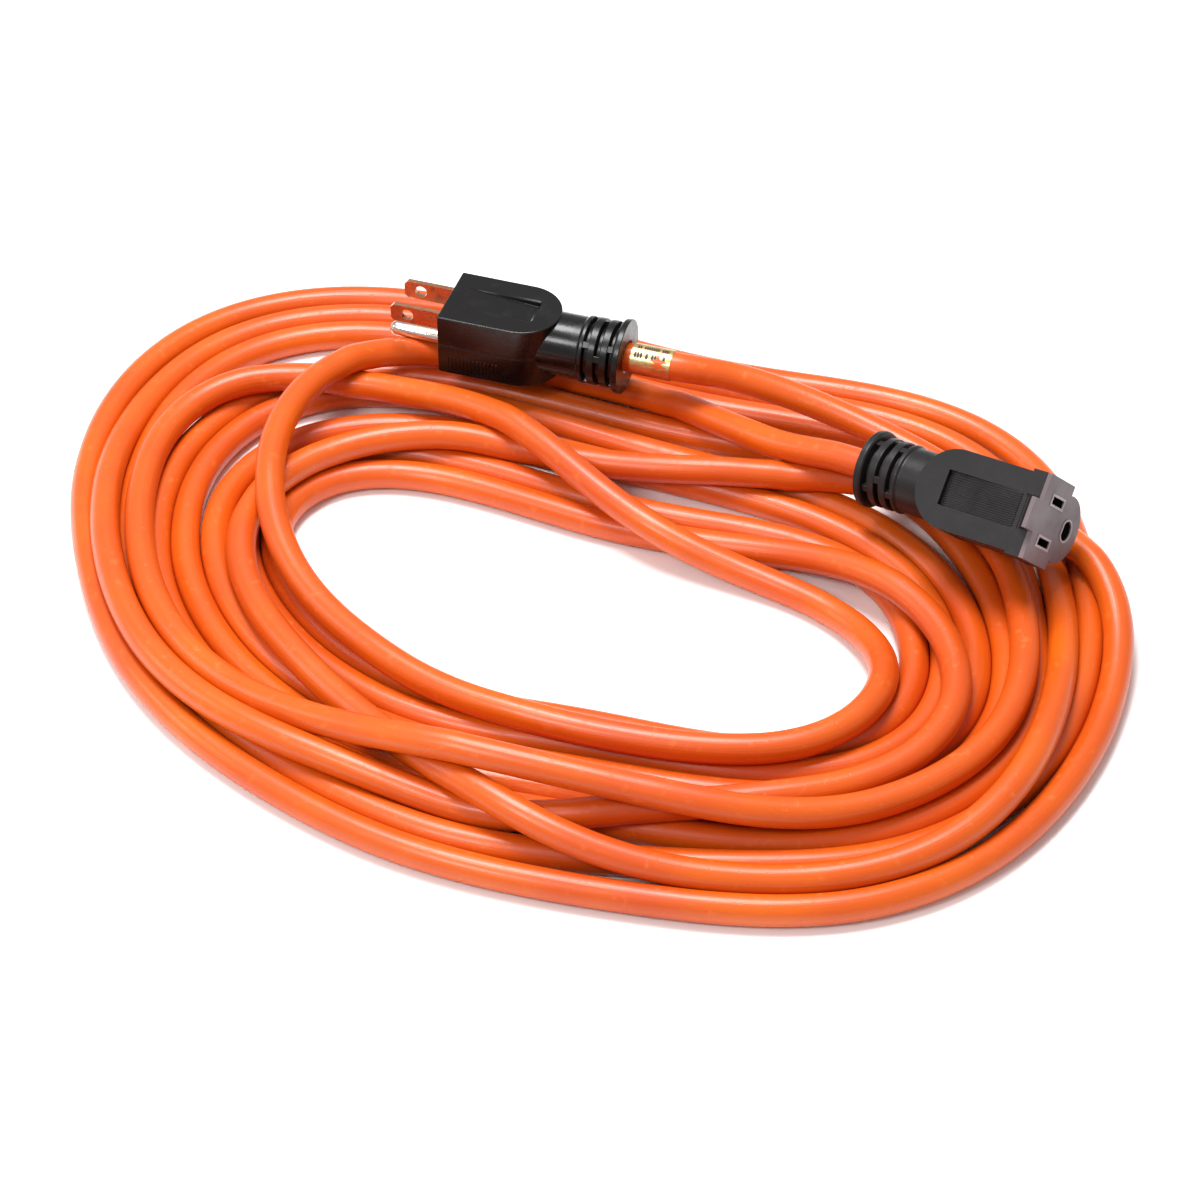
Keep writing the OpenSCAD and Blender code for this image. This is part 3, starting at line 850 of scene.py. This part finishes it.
# Fine upright grip ribs low on both sides, near the front
ribs = []
for side in (-1, 1):
    for k in range(14):
        x = 3.0 + 1.25 * k
        ribs.append(block((x, min(side * 12.1, side * 12.78), -9.2),
                          (x + 0.6, max(side * 12.1, side * 12.78), -3.6)))
grip_ribs = finished("plug_grip_ribs", merged_shapes(ribs), IN_PLUG, plug_black,
                     (), 0.14, 2)

# Connector body: the face's outline drawn in a little, rounded to a D in plan
CONN_L, CONN_W, FACE_T = 42, 26.4, 5.8
STEP_IN = 0.8


def face_loop(x, grow):
    """The connector's outline at x: a wide band over a round lobe."""
    half = CONN_W / 2 + grow
    radius = 10.4 + grow
    foot = -8 - grow
    start = math.asin((foot + 10) / radius)
    arc = [start + (-math.pi - 2 * start) * k / 28 for k in range(29)]
    return ([(x, half, 9.2 + grow), (x, half, foot)]
            + [(x, radius * math.cos(a), -10 + radius * math.sin(a)) for a in arc]
            + [(x, -half, foot), (x, -half, 9.2 + grow)])


conn_solid = stacked([face_loop(FACE_T, -STEP_IN), face_loop(CONN_L + 1, -STEP_IN)])
conn_plan = stacked([d_loop(CONN_L, CONN_W - 2 * STEP_IN, z, 0, FACE_T - 1) for z in (-30, 20)])
conn_solid = carved(conn_solid, conn_plan, "INTERSECT")
CONN_TOP = 9.2 - STEP_IN
conn_pocket = block((FACE_T + 1, -5.5, CONN_TOP), (FACE_T + 27, 5.5, CONN_TOP + 6), TILT)
connector_body = finished("connector_body", carved(conn_solid, conn_pocket), IN_CONN,
                          connector_black, ["connector_overmould"], 0.45, 3)

IN_RELIEF = IN_CONN @ Matrix.Translation((0, 0, RELIEF_Z))
connector_collar = finished("connector_strain_relief", strain_relief(CONN_L, 10), IN_RELIEF,
                            connector_black, ["connector_overmould"], 0.3, 2, 40)

# Lengthwise ribs on the floor of the connector's thumb recess
floor_ribs = []
for k in range(15):
    y = -5.1 + k * 0.7
    rib = block((0, 0, -0.3), (25.0, 0.34, 0.45))
    bmesh.ops.transform(rib, matrix=Matrix.Translation((FACE_T + 1.6, y, CONN_TOP)) @ TILT,
                        verts=rib.verts)
    floor_ribs.append(rib)
recess_ribs = finished("connector_recess_ribs", merged_shapes(floor_ribs), IN_CONN,
                       connector_black, (), 0.08, 1)

# Connector front: black shoulders either side of the recess, and a front with the slots, whose black
# plastic is painted grey as a painted sheen
FRONT_T = 1.7
SLOT_W, SLOT_T, SLOT_Y = 7.8, 2.3, 6.35
EARTH_Z = -11.86
STOP_TOP = 14.2


def earth_hole(x0, x1, grow=0.0):
    """The round hole for the earth pin, with a flat towards the slots."""
    shape = bmesh.new()
    bmesh.ops.create_cone(shape, cap_ends=True, segments=40, radius1=3 + grow, radius2=3 + grow,
                          depth=x1 - x0)
    bmesh.ops.rotate(shape, matrix=Matrix.Rotation(math.pi / 2, 3, "Y"), verts=shape.verts)
    bmesh.ops.translate(shape, vec=((x0 + x1) / 2, 0, EARTH_Z), verts=shape.verts)
    cut = bmesh.ops.bisect_plane(shape, geom=shape.verts[:] + shape.edges[:] + shape.faces[:],
                                 plane_co=(0, 0, EARTH_Z + 2.5 + grow), plane_no=(0, 0, 1),
                                 clear_outer=True)
    rim = [e for e in cut["geom_cut"] if isinstance(e, bmesh.types.BMEdge)]
    bmesh.ops.holes_fill(shape, edges=rim)
    return shape


def slot_tool(side, x0, x1, grow=0.0):
    """The space of one blade slot."""
    y = side * SLOT_Y
    return block((x0, y - SLOT_T / 2 - grow, -SLOT_W / 2 - grow),
                 (x1, y + SLOT_T / 2 + grow, SLOT_W / 2 + grow))


def with_openings(shape, x0, x1):
    """A solid with both slots and the earth hole cut through it."""
    for tool in (slot_tool(-1, x0, x1), slot_tool(1, x0, x1), earth_hole(x0, x1)):
        shape = carved(shape, tool)
    return shape


shoulders = stacked([face_loop(FRONT_T, 0), face_loop(FACE_T + 0.6, 0)])
shoulders = carved(shoulders, block((FRONT_T - 1, -5.5, CONN_TOP - 0.2), (FACE_T + 2, 5.5, 20)))
wedge = stacked([[(FRONT_T, y, 7), (FRONT_T, y, STOP_TOP - 0.6), (5.2, y, CONN_TOP - 0.1), (5.2, y, 7)]
                 for y in (-4.8, 4.8)])
shoulders = with_openings(carved(shoulders, wedge, "UNION"), 0, FACE_T + 2)
connector_shoulders = finished("connector_shoulders", shoulders, IN_CONN, connector_black,
                               ["connector_face"], 0.35, 3)

front = stacked([face_loop(0, 0), face_loop(FRONT_T, 0)])
front = carved(front, block((0, -4.8, 8), (FRONT_T, 4.8, STOP_TOP)), "UNION")
front = with_openings(front, -1, FRONT_T + 1)
front = finished("connector_front", front, IN_CONN, face_painted_sheen, ["connector_face"],
                 0.3, 3)
# The walls inside the slots and the earth hole keep the black plastic's own colour; the grey of the
# rest of the front is painted sheen
front.data.materials.append(connector_black.material)
to_connector = IN_CONN.inverted()
for side in front.data.polygons:
    x, y, z = to_connector @ side.center
    in_slot = abs(abs(y) - SLOT_Y) < SLOT_T / 2 + 0.05 and abs(z) < SLOT_W / 2 + 0.05
    in_earth = math.hypot(y, z - EARTH_Z) < 3.05
    if 0.1 < x < FRONT_T - 0.1 and (in_slot or in_earth):
        side.material_index = 1

# Thin rims round the openings, painted light grey as a painted edge highlight on the black face
rims = []
for side in (-1, 1):
    rims.append(carved(slot_tool(side, -0.25, 0.3, 0.75), slot_tool(side, -1, 1)))
rims.append(carved(earth_hole(-0.25, 0.3, 0.7), earth_hole(-1, 1)))
opening_rims = finished("opening_rims", merged_shapes(rims), IN_CONN, rim_painted_highlight, (),
                        0.1, 2)

# Foil sleeve
LABEL_X, LABEL_L = PLUG_END + 2, 13
sleeve = bmesh.new()
sleeve_marks = sleeve.loops.layers.uv.new("strip")
LABEL_R, LABEL_SIDES = CORD_D / 2 + 0.4, 64
corners = [[sleeve.verts.new((LABEL_X + x, r * math.sin(2 * math.pi * k / LABEL_SIDES),
                              -r * math.cos(2 * math.pi * k / LABEL_SIDES)))
            for k in range(LABEL_SIDES)]
           for x, r in ((0, LABEL_R - 0.35), (0, LABEL_R), (LABEL_L, LABEL_R),
                        (LABEL_L, LABEL_R - 0.35))]
for band in range(4):
    for k in range(LABEL_SIDES):
        after = (k + 1) % LABEL_SIDES
        low, high = corners[band], corners[(band + 1) % 4]
        face = sleeve.faces.new((low[k], high[k], high[after], low[after]))
        ends = (0, 1) if band == 1 else ((0, 0) if band == 0 else ((1, 1) if band == 2 else (1, 0)))
        marks = ((ends[0], k), (ends[1], k), (ends[1], k + 1), (ends[0], k + 1))
        for loop, (u, v) in zip(face.loops, marks):
            loop[sleeve_marks].uv = (u, v / LABEL_SIDES)
label = finished("foil_label", sleeve, IN_PLUG, gold_foil, ["approval_label"])


# ---- Pieces kept from the CAD, and finer copies of some of them ----

def refined(name, node, finish, edge, segments=2, sharp=35):
    """A copy of a CAD node with its corners joined and its edges broken."""
    shape = bmesh.new()
    shape.from_mesh(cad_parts[node].data)
    bmesh.ops.remove_doubles(shape, verts=shape.verts, dist=0.000002)
    bmesh.ops.dissolve_limit(shape, angle_limit=math.radians(0.8), verts=shape.verts,
                             edges=shape.edges)
    return finished(name, shape, Matrix.Identity(4), finish, [node], edge, segments, sharp)


blades = [refined("blade_" + name, "plug_blade_" + name, blade_brass, 0.14)
          for name in ("line", "neutral")]
earth_pin = refined("earth_pin", "plug_earth_pin", pin_nickel, 0.12)

def paired(name, nodes, finish):
    """The same small part of both fittings, as one piece."""
    shape = bmesh.new()
    for node in nodes:
        shape.from_mesh(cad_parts[node].data)
    bmesh.ops.remove_doubles(shape, verts=shape.verts, dist=0.000002)
    return finished(name, shape, Matrix.Identity(4), finish, nodes)


inner_wires = [paired(f"{colour}_wires", [f"{end}_wire_{colour}" for end in ("plug", "connector")],
                      finish)
               for colour, finish in (("black", wire_black), ("white", wire_white),
                                      ("green", wire_green))]
inner_wires.append(paired("bare_copper_ends", ["plug_copper_ends", "connector_copper_ends"],
                          copper))

KEPT = {
    "plug_bridge": block_grey, "connector_rear_cap": block_grey,
    "contact_line": contact_brass, "contact_neutral": contact_brass,
    "contact_earth": contact_brass,
}
for node, finish in KEPT.items():
    held_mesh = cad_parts[node].data
    held_mesh.materials.clear()
    held_mesh.materials.append(finish.material)
